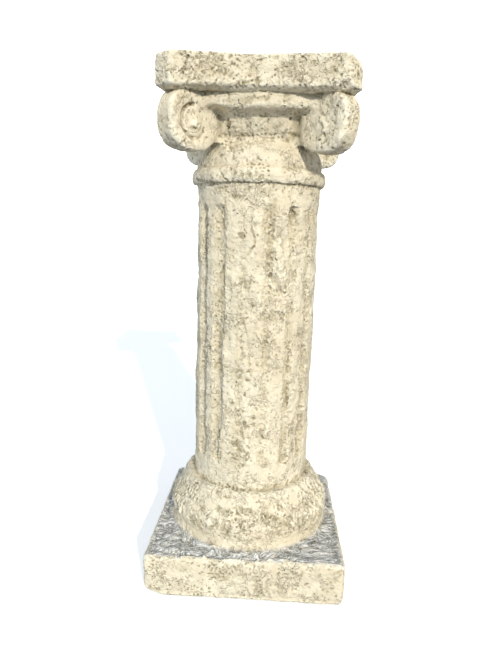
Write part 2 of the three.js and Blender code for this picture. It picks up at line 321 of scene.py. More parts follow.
def form(p):
    """The clean form with its large worn places."""
    x, y, z = p[:, 0], p[:, 1], p[:, 2]
    r = np.hypot(x, y)
    a, b = np.maximum(np.abs(x), np.abs(y)), np.minimum(np.abs(x), np.abs(y))
    solid = turned_section.at(r, z)
    solid = smooth_max(solid, -flute_distance(x, y, z, r), FLUTE_ARRIS)

    facing = np.arctan2(b, a) * np.sign(np.where(np.abs(x) > np.abs(y), y, x))
    pitch = 2 * np.pi / FLUTES
    facing = facing - np.clip(np.round(facing / pitch), -1, 1) * pitch
    egg = ellipsoid(r * np.cos(facing), r * np.sin(facing), z, EGG_MIDDLE, EGG_REACH)
    solid = smooth_min(solid, egg, EGG_FILLET)

    past_a, past_b = a - PLINTH_HALF + PLINTH_CORNER, b - PLINTH_HALF + PLINTH_CORNER
    corner = np.hypot(np.maximum(past_a, 0), np.maximum(past_b, 0))
    plan = np.minimum(past_a, 0) + corner - PLINTH_CORNER
    bulge = PLINTH_BULGE * (1 - ((z - FOOT_BASE / 2) / (FOOT_BASE / 2)) ** 2) - PLINTH_BULGE
    sunk = TOP_SINK * smooth_step(-5, -11, plan)
    plinth = raised(plan - bulge, z + sunk, 0, FOOT_BASE, PLINTH_EASE)
    solid = smooth_min(solid, plinth, FOOT_FILLET)

    band = raised(bowed(a, b, BAND_HALF, BAND_BOW, BAND_HALF), z, BAND_BASE, ABACUS_BASE + 6, 5.0)
    head = smooth_min(band, volute_distance(x, y, z), BAND_FILLET)
    left = LEFT_MORE * (x < 0)
    soft = HEAD_FILLET + left + (BAND_MORE - left) * smooth_step(BAND_BASE - 10, BAND_BASE + 2, z)
    soft = soft + MIDDLE_MORE * smooth_step(62, 36, b)
    solid = smooth_min(solid, head, soft)

    shifted = np.abs(x - ABACUS_SHIFT)
    a, b = np.maximum(shifted, np.abs(y)), np.minimum(shifted, np.abs(y))
    plan = bowed(a, b, ABACUS_HALF, -ABACUS_HOLLOW, ABACUS_HALF - CORNER_CUT)
    plan = smooth_max(plan, (a + b - 2 * ABACUS_HALF + CORNER_CUT) / math.sqrt(2), 5.0)
    slope = SOFFIT_INSET / (ABACUS_BASE - SOFFIT_BASE)
    soffit = (plan + (ABACUS_BASE - z) * slope) / math.hypot(1, slope)
    slab = smooth_max(raised(plan, z, SOFFIT_BASE, TOP + 1.5, 3.0), soffit, 2.0)
    solid = smooth_min(solid, slab, SLAB_FILLET)
    for at, reach in BITES:
        solid = smooth_max(solid, -ellipsoid(x, y, z, at, reach), BITE_EDGE)
    for at, facing in WORN_CORNERS:
        u, v, w = x - at[0], y - at[1], z - at[2]
        cut = u * facing[0] + v * facing[1] + w * facing[2]
        near = u * u + v * v + w * w < CORNER_REACH**2
        solid = np.where(near, smooth_max(solid, cut, CORNER_EDGE), solid)
    return solid


# Worn, chipped and filled places. Each is given by degrees round from the front, radius and height of its
# middle, half its width and half its height, its tilt in degrees, its depth (below 0 it stands proud) and
# its dirt.
MARKS = (
    # Shaft: flutes filled or worn at their tops
    (15, 93, 560, 9, 22, 0, 1.0, 0.5), (34.5, 93, 566, 7, 14, 0, 3.0, 0.45),
    (56, 93, 564, 5, 11, 0, 1.8, 0.4), (4, 93, 546, 9, 18, 0, -1.0, 0.0),
    # Shaft: the broken ridge right of the middle
    (14, 93, 510, 5.5, 38, 0, 3.0, 0.3), (19.5, 93, 469, 5, 15, 33, 2.8, 0.3),
    (23.5, 93, 495, 6, 32, 6, -2.6, 0.0), (28.5, 93, 459, 3, 6, 0, 2.4, 0.6),
    (24, 93, 457, 5, 3.5, 0, 1.8, 0.5),
    # Shaft: separate pits and stains
    (39.8, 93, 481, 4, 5, 0, 2.4, 0.8), (27, 93, 419, 4, 9, 8, 3.0, 0.5),
    (38.2, 93, 428, 2.2, 11, 0, 2.2, 0.5), (15, 93, 418, 9, 9, 0, 1.0, 0.7),
    (-12.5, 93, 533, 5, 5, 20, 1.5, 0.9), (-5.3, 93, 465, 6, 7, 0, 1.2, 0.8),
    (-0.4, 93, 439, 4, 6, 20, 1.0, 0.7), (-18, 93, 587, 9, 4, 0, 1.3, 0.9),
    (8, 93, 594, 8, 4, 0, 0.8, 0.4), (12.3, 93, 366, 5.5, 22, 0, 2.6, 0.4),
    (15.8, 93, 366, 2, 16, 0, 1.2, 0.5), (37.5, 93, 350, 4.5, 20, 0, 4.0, 0.5),
    (54.3, 93, 323, 4, 19, 0, 4.0, 0.5), (37, 93, 299, 2.2, 22, 0, 2.4, 0.5),
    (50, 93, 262, 4, 26, -25, 2.0, 0.25), (21.2, 93, 382, 3, 3, 0, 1.4, 0.8),
    (-9.5, 93, 329, 4, 3, 20, 1.6, 0.9), (-2.8, 93, 325, 4, 3, -20, 1.6, 0.9),
    (-5.3, 93, 302, 2.2, 4.5, 0, 2.6, 1.0), (-18, 93, 291, 3, 9, 35, 1.6, 0.5),
    (-14, 93, 338, 10, 3, 8, 1.4, 0.8), (-12, 93, 383, 6, 4, 0, 1.0, 0.6),
    # Shaft: the round-topped patch low on the left, and its pits
    (-10, 93, 240, 19, 42, 0, -2.4, 0.0), (-7.8, 93, 277, 5, 3, 0, 1.4, 0.8),
    (4, 93, 268, 5, 3, 0, 1.6, 0.9), (-4, 93, 257, 5, 6, 20, 1.6, 0.9), (-10, 93, 257, 4, 4, 0, 1.2, 0.7),
    (-6, 93, 241, 3, 8, 20, 1.4, 0.8), (-11.8, 93, 226, 6, 8, 0, 1.5, 0.9),
    (-13.8, 93, 201, 5, 6, 0, 1.3, 0.8), (-2, 93, 205, 5, 8, 0, 1.3, 0.8),
    (-6, 93, 190, 6, 5, 0, 1.3, 0.8), (-7, 93, 216, 6, 5, 0, 1.3, 0.8), (-32, 93, 236, 8, 4, 0, 1.6, 0.9),
    (-32, 93, 214, 7, 13, 0, -2.2, 0.1), (-29, 93, 285, 3, 22, 6, 0.9, 0.6),
    (-33, 93, 350, 3, 40, 0, 0.9, 0.6), (17, 93, 192, 8, 8, 0, 0.8, 0.6),
    (47, 93, 215, 4, 16, 0, 1.6, 0.7), (40, 93, 262, 3, 16, 0, 1.2, 0.4),
    # Torus: the darkest of its mottled places
    (-38, 126, 98, 12, 10, 20, 1.2, 0.7), (-14, 127, 100, 8, 14, 10, 1.4, 0.8),
    (-2, 127, 108, 4, 8, 0, 1.2, 0.6), (-15, 118, 122, 10, 5, 0, 1.2, 0.7),
    (-1, 114, 127, 12, 5, 0, 1.3, 0.8), (16, 122, 116, 12, 7, 0, 1.5, 0.8),
    (27, 126, 106, 12, 7, 20, 1.4, 0.8), (41, 127, 100, 9, 10, 20, 1.3, 0.8),
    (50, 120, 120, 8, 6, 0, 1.2, 0.7),
)

# The same for places on flat or free forms: the middle, half its width across the front, half its height,
# the tilt, depth and dirt
FRONT_MARKS = (
    ((-6, -124, 736), 7, 9, 20, 1.2, 0.7), ((-22, -124, 723), 10, 3.5, 10, 1.6, 0.9),
    ((-3, -124, 724), 7, 4, -20, 1.6, 0.9), ((-12, -125, 759), 22, 4, 0, 2.6, 0.1),
    ((36, -125, 744), 12, 7, 20, 1.0, 0.6), ((-60, -127, 741), 24, 12, 0, 0.7, 0.5),
    ((-20, -111, 705), 20, 5, 0, 0.8, 0.6), ((0, -111, 709), 14, 4, 0, 1.0, 0.7),
    ((36, -111, 711), 5, 4, 0, 1.0, 0.7), ((-30, -96, 616), 3, 2.5, 0, 1.6, 0.9),
    ((-21.8, -98, 614), 3, 3, 0, 1.6, 0.9), ((-10, -99.5, 614), 3, 3, 0, 1.6, 0.9),
    ((-0.6, -100, 615), 2.5, 2, 0, 1.4, 0.8), ((28, -90, 681), 4, 3, 0, 1.6, 0.8),
    ((-41, -81, 682), 3, 6, 0, 2.0, 0.9), ((-50, -72, 642), 4, 2.5, 0, 1.6, 0.8),
    ((-90, -131, 735), 6, 10, 0, 1.2, 0.7), ((80, -128, 741), 26, 10, 0, 0.5, 0.3),
    ((-22, -148, 46), 26, 12, 0, 0.7, 0.5), ((-90, -148, 50), 16, 8, 0, 0.5, 0.4),
    ((95, -148, 40), 34, 16, 15, 0.9, 0.1), ((60, -148, 28), 20, 9, -20, 0.8, 0.1),
    ((120, -148, 22), 16, 8, 30, 0.8, 0.2), ((20, -148, 30), 6, 24, 10, 0.8, 0.3),
)

# Cracks and grooves: half their width, their depth, their dirt and their points
CRACKS = (
    (1.0, 1.8, 0.9, ((-6, -93, 557), (-5, -93, 542), (1, -93, 528), (-1, -93, 520), (-9, -92.6, 509),
                    (-15, -91.8, 500))),
    (0.8, 1.5, 0.8, ((-14.4, -92, 415), (-9.4, -92.5, 402), (-5, -93, 378), (-3, -93, 365),
                    (-3.2, -93, 341), (2, -93, 328))),
    (1.6, 1.4, 0.25, ((22, -90.3, 543), (28, -88.7, 529), (21.4, -90.5, 515), (21, -90.6, 496),
                    (24.5, -89.7, 478), (32, -87.3, 461))),
    (1.2, 3.0, 1.0, ((-49.5, -86.9, 617), (-46, -88.5, 612), (-42, -90, 608.5), (-40.7, -91.4, 605))),
    (1.6, 3.0, 1.0, ((-88, -46, 610), (-81, -57.4, 608), (-74, -65.5, 605), (-68, -71.9, 604),
                    (-60, -75.4, 604))),
    (1.3, 2.8, 1.0, ((-44.5, -76, 680), (-43.3, -72, 669), (-41.9, -72.8, 661), (-39, -76, 653),
                    (-35.2, -79, 645))),
    (1.0, 2.0, 0.9, ((-32.7, -79.4, 653), (-29.6, -80.6, 649.7), (-27.2, -82, 647))),
    (1.1, 2.4, 1.0, ((-23, -80, 671), (-17.5, -82, 670.4), (-12.4, -83, 671.6))),
    (1.0, 1.6, 0.6, ((-15, -82.6, 671.6), (-4.7, -84, 670.8), (2, -84, 673), (12, -83, 672.9),
                    (25.7, -80, 673.8), (31, -78, 671), (38, -75, 674), (45, -71, 672), (54.6, -63, 671))),
    (0.8, 1.2, 0.6, ((-26, -90, 698), (-14, -92, 692), (-4, -93, 686), (0, -92, 677))),
    (0.9, 1.6, 0.7, ((34, -149, 34), (35, -149, 24), (39, -149, 11))),
    (1.0, 2.2, 1.0, ((100, -126, 722), (108, -128, 718), (116, -128, 716))),
    (1.0, 2.0, 0.9, ((30.8, -124, 724), (36, -124, 719), (40.6, -123, 716), (46, -122, 718))),
    (0.9, 1.6, 0.8, ((-15, -121, 715), (-2, -121, 717), (6, -121, 715))),
    (1.8, 2.6, 0.3, ((-142, -134, 64), (-100, -138, 64), (-66, -139, 64), (-21, -142, 64), (24, -143, 64))),
    (1.5, 1.4, 0.2, ((-138, -149, 11), (-60, -149, 9), (40, -149, 8), (142, -149, 9))),
    (1.4, 3.0, 0.9, ((78.9, -102.9, 697), (83, -107, 691), (86.9, -110.9, 685))),
    (1.2, 2.6, 0.9, ((89.6, -113.6, 693), (92, -116, 689), (94.2, -118.2, 685))),
    (1.3, 2.0, 0.7, ((76.4, -100.4, 688), (78.6, -102.6, 683), (83.9, -107.9, 677), (82.2, -106.2, 672))),
    (1.6, 2.6, 0.8, ((-82, -106, 672), (-90.5, -114.5, 672), (-96, -120, 671), (-100, -124, 674))),
)


MARK_FADE, MARK_REACH, MARK_SPREAD, CRACK_REACH = 16, 18, 1.7, 8


def marks_at(p, r, angle):
    """Depth and dirt of the placed marks and cracks."""
    x, y, z = p[:, 0], p[:, 1], p[:, 2]
    depth, dirt = np.zeros(len(p), np.float32), np.zeros(len(p), np.float32)
    ragged = 0.20 * noise(p, 9, 31) + 0.14 * noise(p, 4.6, 32)
    rough = np.clip(0.75 + 0.45 * noise(p, 5, 33), 0, 1.6)

    def press(near, across, out, up, size):
        half_wide, half_high, tilt, deep, dark = size
        c, s = math.cos(math.radians(tilt)), math.sin(math.radians(tilt))
        u, w = (across * c + up * s) / half_wide, (up * c - across * s) / half_high
        rho = np.sqrt(u * u + w * w + (out / MARK_FADE) ** 2) + ragged[near]
        shape = smooth_step(1.15, 0.85, rho)
        uneven = min(1, 1.4 * dark) if deep > 0 else 0
        depth[near] += deep * shape * (1 + (rough[near] - 1) * uneven)
        dirt[near] = np.maximum(dirt[near], dark * shape)

    def press_near(across, out, up, size):
        far = MARK_SPREAD * max(size[:2])
        near = (np.abs(up) < far) & (np.abs(across) < far) & (np.abs(out) < MARK_REACH)
        near = np.nonzero(near)[0]
        if len(near):
            press(near, across[near], out[near], up[near], size)

    for degrees, radius, height, *size in MARKS:
        press_near((angle - math.radians(degrees)) * radius, r - radius, z - height, size)
    for at, *size in FRONT_MARKS:
        press_near(x - at[0], y - at[1], z - at[2], size)
    for half, deep, dark, points in CRACKS:
        line = np.array(points, np.float32)
        low, high = line.min(0) - CRACK_REACH, line.max(0) + CRACK_REACH
        near = np.nonzero(((p > low) & (p < high)).all(1))[0]
        if not len(near):
            continue
        q = p[near]
        away = np.full(len(near), 1e3, np.float32)
        for a, b in zip(line[:-1], line[1:]):
            e = b - a
            t = np.clip((q - a) @ e / (e @ e), 0, 1)
            away = np.minimum(away, np.linalg.norm(q - a - t[:, None] * e, axis=1))
        shape = smooth_step(half + 1.5, half * 0.5, away + 2.0 * ragged[near])
        depth[near] += deep * shape
        dirt[near] = np.maximum(dirt[near], dark * shape)
    return depth, dirt


# How deep each kind of wear goes, in mm, and how the ledge's wrinkles and the torus's tooling are drawn out
SHAFT_SWELL, LEFT_LOSS, SKIN_DEPTH, PIT_DEPTH = 0.75, 1.1, 1.2, 1.8
WORN_DEPTH, VEIN_DEPTH, TOOLED_DEPTH = 0.9, 1.1, 0.9
LEDGE_DRAWN, TOOLED_RADIUS = (0.6, 1.0, 1.0), 118


def weather(p):
    """What weather and wear take off each place in mm, and how dirty that leaves it, from 0 to 1."""
    x, y, z = p[:, 0], p[:, 1], p[:, 2]
    r, angle = np.hypot(x, y), np.arctan2(x, -y)
    depth, dirt = marks_at(p, r, angle)

    # Which part of the column each place is on
    shaft = smooth_step(SHAFT_BASE, SHAFT_BASE + 15, z) * smooth_step(RING_BASE, RING_BASE - 8, z)
    torus = smooth_step(TORUS_BASE - 2, TORUS_BASE + 10, z) * smooth_step(SHAFT_BASE, SHAFT_BASE - 12, z)
    plinth = smooth_step(FOOT_BASE + 2, FOOT_BASE - 6, z)
    ledge = smooth_step(FOOT_BASE - 8, FOOT_BASE - 2, z) * smooth_step(TORUS_BASE - 2, TORUS_BASE - 10, z)
    ledge *= smooth_step(TORUS_RADIUS - 0.5, TORUS_RADIUS + 5.5, r)
    rim = smooth_step(140, 147, np.maximum(np.abs(x), np.abs(y)))
    ledge *= 1 - 0.75 * rim
    slab = smooth_step(SOFFIT_BASE - 1, ABACUS_BASE + 2, z)
    capital = smooth_step(RING_BASE, RING_BASE + 6, z) * (1 - slab)

    floor = smooth_step(3.5, 0.0, flute_distance(x, y, z, r)) * shaft
    belly = smooth_step(TORUS_BASE + 2, TORUS_BASE + 12, z) * smooth_step(SHAFT_BASE - 14, SHAFT_BASE - 24, z)
    foot = smooth_step(FOOT_BASE - 2, FOOT_BASE + 2, z) * smooth_step(TORUS_BASE + 10, TORUS_BASE + 2, z)

    # The ground's own unevenness, in waves from broad to fine
    broad = noise(p, 70, 1)
    middle = noise(p, 20, 2)
    fine = noise(p, 8.5, 3)
    grain = noise(p, 4.6, 4)
    depth += 0.16 * middle + 0.16 * fine + (0.10 + 0.16 * floor) * grain - 0.2
    depth += SHAFT_SWELL * shaft * noise(p, 36, 19, 1.7)
    depth += LEFT_LOSS * shaft * smooth_step(0.3, 1.2, -angle)

    # Skin lost in patches, with a rough floor
    lost = 0.60 * noise(p, 14, 5) + 0.55 * noise(p, 6, 6) + 0.40 * broad
    lost += 0.62 * belly + 0.35 * floor - 0.35 * capital + 0.05 * slab - 0.25 * plinth - 0.35 * shaft
    quiet = 1 - np.maximum(0.85 * ledge, 0.7 * foot)
    patch = smooth_step(0.95, 1.10, lost) * quiet
    depth += patch * (SKIN_DEPTH + SKIN_DEPTH / 2 * grain)

    # Small pits, crowded in places
    crowd = noise(p, 45, 7)
    pitted = noise(p, 5.0, 8) + 0.5 * crowd + 0.30 * slab - 0.1 * capital - 0.10 * belly + 0.05 * plinth
    pitted -= shaft * (0.35 - 0.5 * floor) + 0.5 * plinth * smooth_step(0, 60, x)
    pit = smooth_step(1.40, 1.70, pitted) * quiet
    depth += PIT_DEPTH * pit

    # Ridges between the flutes worn down in long hollows
    worn = noise(p, 22, 9, 2.6)
    depth += shaft * WORN_DEPTH * smooth_step(0.9, 1.6, worn)

    # Veins
    vein = smooth_step(0.05, 0.0, np.abs(noise(p, 60, 10))) * smooth_step(0.6, 1.0, noise(p, 90, 13))
    depth += VEIN_DEPTH * vein

    # The plinth's top is wrinkled, and the torus is tooled down its flanks
    drawn = p * np.array(LEDGE_DRAWN, np.float32)
    wrinkled = np.abs(noise(drawn, 24, 15)) + 0.35 * np.abs(noise(drawn, 12, 16))
    depth += ledge * (1.6 - 2.4 * wrinkled)
    flank = torus * smooth_step(0.60, 0.95, np.abs(angle)) * smooth_step(84, 100, z)
    tooled = np.stack([angle * TOOLED_RADIUS, 0.25 * r, 0.35 * z], 1).astype(np.float32)
    depth += flank * TOOLED_DEPTH * noise(tooled, 7.0, 18)

    clean = 1 - 0.45 * shaft - 0.6 * ledge
    dirt = np.maximum(dirt, 0.75 * patch * clean)
    dirt = np.maximum(dirt, 0.9 * pit * clean)
    dirt = np.maximum(dirt, 0.5 * vein)
    return depth, dirt


BROAD_WARP, FINE_WARP = 0.45, 0.25
BOX_HALF, BOX_GAP, WEAR_REACH = 149.8, 0.2, 8


def warped(p):
    """Places moved a little, so that no line of the form is quite true."""
    moved = np.stack([noise(p, 75, seed) for seed in (41, 42, 43)], 1) * BROAD_WARP
    moved += np.stack([noise(p, 28, seed) for seed in (44, 45, 46)], 1) * FINE_WARP
    moved[:, 2] *= smooth_step(4, 20, p[:, 2])
    return p + moved


def field(p):
    """Distance to the worn surface, below 0 inside. It is kept inside the solid's box."""
    solid = form(warped(p))
    near = np.nonzero(np.abs(solid) < WEAR_REACH)[0]
    depth, _ = weather(p[near])
    solid[near] += depth
    x, y, z = p[:, 0], p[:, 1], p[:, 2]
    box = np.maximum(np.maximum(np.abs(x), np.abs(y)) - BOX_HALF, np.maximum(z - TOP + BOX_GAP, -z))
    return smooth_max(solid, box, 0.8)


def in_chunks(work, p):
    pieces = [p[i:i + CHUNK] for i in range(0, len(p), CHUNK)]
    with ThreadPoolExecutor(THREADS) as pool:
        return np.concatenate(list(pool.map(work, pieces)))


def sample_volume():
    """The field on a grid, worked out only in blocks near the surface."""
    span = BLOCK * VOXEL
    low = np.array([cad_low[0], cad_low[1], cad_low[2]]) / MM - 2 * VOXEL
    high = np.array([cad_high[0], cad_high[1], cad_high[2]]) / MM + 2 * VOXEL
    blocks = np.ceil((high - low) / span).astype(int) + 1
    centres = np.stack(np.meshgrid(*[np.arange(n) for n in blocks], indexing="ij"), -1).reshape(-1, 3)
    middle = (low + (centres + 0.5) * span - VOXEL / 2).astype(np.float32)
    rough = in_chunks(form, middle)
    near = np.abs(rough) < span * math.sqrt(3) / 2 + 6.5
    inner = np.stack(np.meshgrid(*[np.arange(BLOCK)] * 3, indexing="ij"), -1).reshape(-1, 3) * VOXEL
    corner = (low + centres[near] * span).astype(np.float32)
    points = (corner[:, None] + inner[None].astype(np.float32)).reshape(-1, 3)
    volume = np.repeat(np.where(rough < 0, -20, 20).astype(np.float32)[:, None], BLOCK**3, 1)
    volume[near] = in_chunks(field, points).reshape(-1, BLOCK**3)
    volume = volume.reshape(*blocks, BLOCK, BLOCK, BLOCK).transpose(0, 3, 1, 4, 2, 5)
    return volume.reshape(*(blocks * BLOCK)), low


def surface_net(volume, low):
    """One vertex in each cell that the surface crosses, and a quad round each crossed edge."""
    inside = volume < 0
    strides = np.array([volume.shape[1] * volume.shape[2], volume.shape[2], 1])
    cells, points, quads = [], [], []
    for axis in range(3):
        other = [(axis + 1) % 3, (axis + 2) % 3]
        first = [slice(None)] * 3
        second = [slice(None)] * 3
        first[axis], second[axis] = slice(0, -1), slice(1, None)
        edge = np.argwhere(inside[tuple(first)] != inside[tuple(second)])
        a = volume[tuple(edge.T)]
        end = edge.copy()
        end[:, axis] += 1
        b = volume[tuple(end.T)]
        at = edge.astype(np.float64)
        at[:, axis] += a / (a - b)
        base = edge @ strides
        back_u, back_v = strides[other[0]], strides[other[1]]
        round_edge = [base, base - back_u, base - back_u - back_v, base - back_v]
        quad = np.stack(round_edge, 1)
        quad[a >= 0] = quad[a >= 0][:, ::-1]
        cells.append(np.concatenate(round_edge))
        points.append(np.tile(at, (4, 1)))
        quads.append(quad)
    cells, points, quads = np.concatenate(cells), np.concatenate(points), np.concatenate(quads)
    used, place = np.unique(cells, return_inverse=True)
    count = np.bincount(place)
    vertices = np.stack([np.bincount(place, points[:, k]) / count for k in range(3)], 1) * VOXEL + low
    return vertices, np.searchsorted(used, quads)


def mesh_from(vertices, quads, name):
    mesh = bpy.data.meshes.new(name)
    mesh.vertices.add(len(vertices))
    mesh.vertices.foreach_set("co", vertices.astype(np.float32).ravel())
    mesh.loops.add(quads.size)
    mesh.loops.foreach_set("vertex_index", quads.astype(np.int32).ravel())
    mesh.polygons.add(len(quads))
    mesh.polygons.foreach_set("loop_start", np.arange(0, quads.size, 4, dtype=np.int32))
    mesh.update(calc_edges=True)
    mesh.validate()
    return mesh


def collapsed(piece, share, group=""):
    """Collapses the mesh's least needed edges, outside a group, down to a share of its triangles."""
    modifier = piece.modifiers.new("thin", "DECIMATE")
    modifier.ratio = min(1.0, share)
    modifier.use_collapse_triangulate = True
    modifier.vertex_group, modifier.invert_vertex_group = group, True
    graph = bpy.context.evaluated_depsgraph_get()
    mesh = bpy.data.meshes.new_from_object(piece.evaluated_get(graph))
    piece.modifiers.clear()
    old = piece.data
    piece.data = mesh
    bpy.data.meshes.remove(old)


def triangles_in(mesh):
    return len(mesh.loops) - 2 * len(mesh.polygons)


def thinned(piece):
    """Brings the piece's mesh down to its limit, the back first."""
    at = np.zeros(len(piece.data.vertices) * 3, np.float32)
    piece.data.vertices.foreach_get("co", at)
    front = at.reshape(-1, 3)[:, 1] < BACK_FROM
    piece.vertex_groups.new(name="front").add(np.nonzero(front)[0].tolist(), 1.0, "REPLACE")
    collapsed(piece, front.mean() + BACK_LIMIT / triangles_in(piece.data), "front")
    piece.vertex_groups.clear()
    collapsed(piece, MESH_LIMIT / triangles_in(piece.data))
    piece.data.validate()


def blurred(mask, cells):
    """A box blur over a number of cells each way, the same at the edges."""
    reach = cells // 2
    for axis in range(3):
        pad = [(reach + 1, reach) if k == axis else (0, 0) for k in range(3)]
        total = np.cumsum(np.pad(mask, pad), axis)
        upper = [slice(None)] * 3
        lower = [slice(None)] * 3
        upper[axis], lower[axis] = slice(cells, None), slice(0, -cells)
        mask = (total[tuple(upper)] - total[tuple(lower)]) / cells
    return mask


def at_places(grid, step, low, p):
    """A grid's values at places, between its points."""
    q = np.clip((p - low) / step, 0, np.array(grid.shape) - 1.001)
    i = q.astype(int)
    f = q - i
    total = 0
    for a in (0, 1):
        for b in (0, 1):
            for c in (0, 1):
                weight = np.abs(1 - a - f[:, 0]) * np.abs(1 - b - f[:, 1]) * np.abs(1 - c - f[:, 2])
                total = total + weight * grid[i[:, 0] + a, i[:, 1] + b, i[:, 2] + c]
    return total


SETTLE_STEP = 0.6


def settled(p):
    """Places drawn onto the surface, after the mesh was thinned."""
    step = np.float32(SETTLE_STEP)
    for _ in range(2):
        slope = [field(p + step * axis) - field(p - step * axis) for axis in np.eye(3, dtype=np.float32)]
        slope = np.stack(slope, 1) / (2 * step)
        steep = np.maximum((slope * slope).sum(1), 0.3)
        move = field(p) / steep
        p = p - np.clip(move, -2 * SETTLE_STEP, 2 * SETTLE_STEP)[:, None] * slope
    half = BOX_HALF + BOX_GAP / 4
    return np.clip(p, (-half, -half, 0), (half, half, TOP - BOX_GAP / 2)).astype(np.float32)


def sunk_below(mesh, places):
    """How far each vertex lies below its neighbours, as a slope. Above them it is below 0."""
    edges = np.zeros(len(mesh.edges) * 2, np.int32)
    mesh.edges.foreach_get("vertices", edges)
    a, b = edges.reshape(-1, 2).T
    normals = np.zeros(len(mesh.vertices) * 3, np.float32)
    mesh.vertices.foreach_get("normal", normals)
    normals = normals.reshape(-1, 3)
    apart = places[b] - places[a]
    length = np.linalg.norm(apart, axis=1) + 1e-6
    rise_a, rise_b = (apart * normals[a]).sum(1) / length, -(apart * normals[b]).sum(1) / length
    count = np.maximum(np.bincount(a, minlength=len(places)) + np.bincount(b, minlength=len(places)), 1)
    level = (np.bincount(a, rise_a, len(places)) + np.bincount(b, rise_b, len(places))) / count
    for _ in range(2):
        around = np.bincount(a, level[b], len(places)) + np.bincount(b, level[a], len(places))
        level = (level + around / count) / 2
    return level


def stains(p):
    """Dirt, flute floors and the plinth's top at places on the surface."""
    x, y, z = p[:, 0], p[:, 1], p[:, 2]
    r = np.hypot(x, y)
    _, dirt = weather(p)
    ledge = smooth_step(FOOT_BASE - 11, FOOT_BASE - 4, z) * smooth_step(FOOT_BASE + 8, FOOT_BASE + 2, z)
    ledge *= smooth_step(TORUS_RADIUS - 2.5, TORUS_RADIUS + 3.5, r)
    ledge *= smooth_step(147, 142, np.maximum(np.abs(x), np.abs(y)) + 1.2 * noise(p, 12, 51))
    flute = smooth_step(4.0, 0.5, flute_distance(x, y, z, r))
    return np.stack([dirt, flute, ledge], 1)


volume, low = sample_volume()
vertices, quads = surface_net(volume, low)
column = bpy.data.objects.new("stone_column", mesh_from(vertices, quads, "stone_column"))
bpy.context.scene.collection.objects.link(column)
thinned(column)
mesh = column.data
mesh.polygons.foreach_set("use_smooth", np.ones(len(mesh.polygons), bool))

places = np.zeros(len(mesh.vertices) * 3, np.float32)
mesh.vertices.foreach_get("co", places)
places = in_chunks(settled, places.reshape(-1, 3))
mesh.vertices.foreach_set("co", (places * MM).ravel())
mesh.update()
half = tuple(n // 2 for n in volume.shape)
solid = (volume < 0).reshape(half[0], 2, half[1], 2, half[2], 2).mean((1, 3, 5))
# How much solid lies near each vertex and wider round it; the material paints shade from these into hollows
# and creases
near_share = at_places(blurred(solid, 3), 2 * VOXEL, low + VOXEL / 2, places)
wide_share = at_places(blurred(solid, 9), 2 * VOXEL, low + VOXEL / 2, places)
stained = in_chunks(stains, places)
layers = {
    "dirt": stained[:, 0],
    "flute": stained[:, 1],
    "ledge": stained[:, 2],
    # How far each vertex lies below its neighbours, from which the material paints shade in dips and a
    # highlight on raised places
    "sunk": sunk_below(mesh, places),
    "hollow": (near_share - 0.5) * 2,
    "crease": (wide_share - 0.5) * 2,
}
for name, values in layers.items():
    layer = mesh.attributes.new(name, "FLOAT", "POINT")
    layer.data.foreach_set("value", np.ascontiguousarray(values, np.float32))


def srgb(red, green, blue):
    """A colour given as it shows on a screen, as the shader takes it."""
    shares = [c / 255 for c in (red, green, blue)]
    linear = [c / 12.92 if c < 0.04045 else ((c + 0.055) / 1.055) ** 2.4 for c in shares]
    return (*linear, 1.0)


class Nodes:
    """Short calls for the nodes of a material or a world."""

    def __init__(self, owner):
        owner.use_nodes = True
        self.tree = owner.node_tree
        self.tree.nodes.clear()

    def add(self, kind, **settings):
        node = self.tree.nodes.new(kind)
        for name, value in settings.items():
            setattr(node, name, value)
        return node

    def join(self, out, into):
        self.tree.links.new(out, into)

    def feed(self, socket, value):
        if hasattr(value, "links"):
            self.join(value, socket)
        else:
            socket.default_value = value

    def attribute(self, name):
        return self.add("ShaderNodeAttribute", attribute_type="GEOMETRY", attribute_name=name).outputs["Fac"]

    def noise(self, coordinates, scale, detail=3.0, roughness=0.55, distortion=0.0):
        node = self.add("ShaderNodeTexNoise")
        node.inputs["Distortion"].default_value = distortion
        self.join(coordinates, node.inputs["Vector"])
        node.inputs["Scale"].default_value = scale
        node.inputs["Detail"].default_value = detail
        node.inputs["Roughness"].default_value = roughness
        return node.outputs["Fac"]

    def ramp(self, value, low, high, to_low=0.0, to_high=1.0):
        node = self.add("ShaderNodeMapRange", interpolation_type="SMOOTHSTEP")
        self.feed(node.inputs["Value"], value)
        for name, number in (("From Min", low), ("From Max", high), ("To Min", to_low), ("To Max", to_high)):
            node.inputs[name].default_value = number
        return node.outputs["Result"]

    def maths(self, operation, a, b, clamp=False):
        node = self.add("ShaderNodeMath", operation=operation, use_clamp=clamp)
        self.feed(node.inputs[0], a)
        self.feed(node.inputs[1], b)
        return node.outputs[0]

    def times(self, a, b):
        return self.maths("MULTIPLY", a, b)

    def near(self, value, level, reach):
        """1 where a value is at a level, fading to 0 at a reach either side."""
        return self.ramp(self.maths("ABSOLUTE", self.maths("SUBTRACT", value, level), 0.0), reach, 0.0)

    def mix(self, share, a, b):
        node = self.add("ShaderNodeMix", data_type="RGBA")
        self.feed(node.inputs["Factor"], share)
        self.feed(node.inputs[6], a)
        self.feed(node.inputs[7], b)
        return node.outputs[2]


